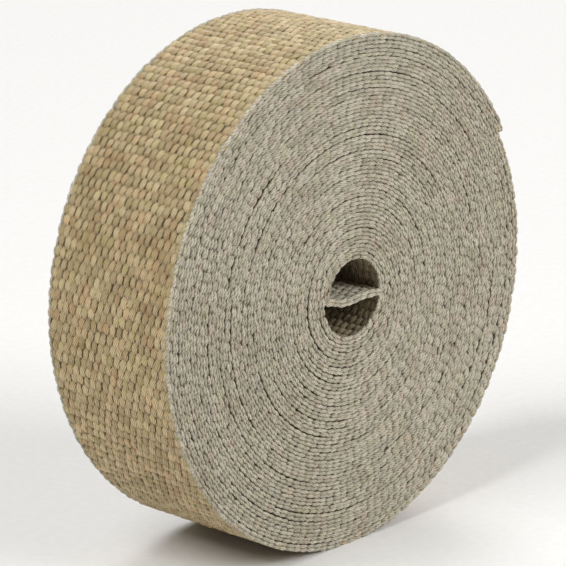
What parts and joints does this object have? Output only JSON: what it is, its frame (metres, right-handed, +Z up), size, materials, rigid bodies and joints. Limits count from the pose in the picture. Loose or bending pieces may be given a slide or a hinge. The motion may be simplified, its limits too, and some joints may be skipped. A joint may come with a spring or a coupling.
{
  "type": "exhaust heat wrap",
  "caption": "Woven heat-resistant tape wound into a flat roll with an open bore; its inner end crosses the bore as a flap.",
  "frame": {"origin": "bottom centre of the roll, on the surface that it stands on", "axes": "+Z up; the roll's axis runs along Y, with the face that shows the flap towards -Y"},
  "size_m": [0.1612, 0.0508, 0.1618],
  "materials": {
    "woven_glass_tape": "matt, coarse plain weave of glass fibre yarns, grey beige with warmer tan patches"
  },
  "bodies": {
    "root": {"wound_wrap": "woven_glass_tape"}
  },
  "joints": []
}
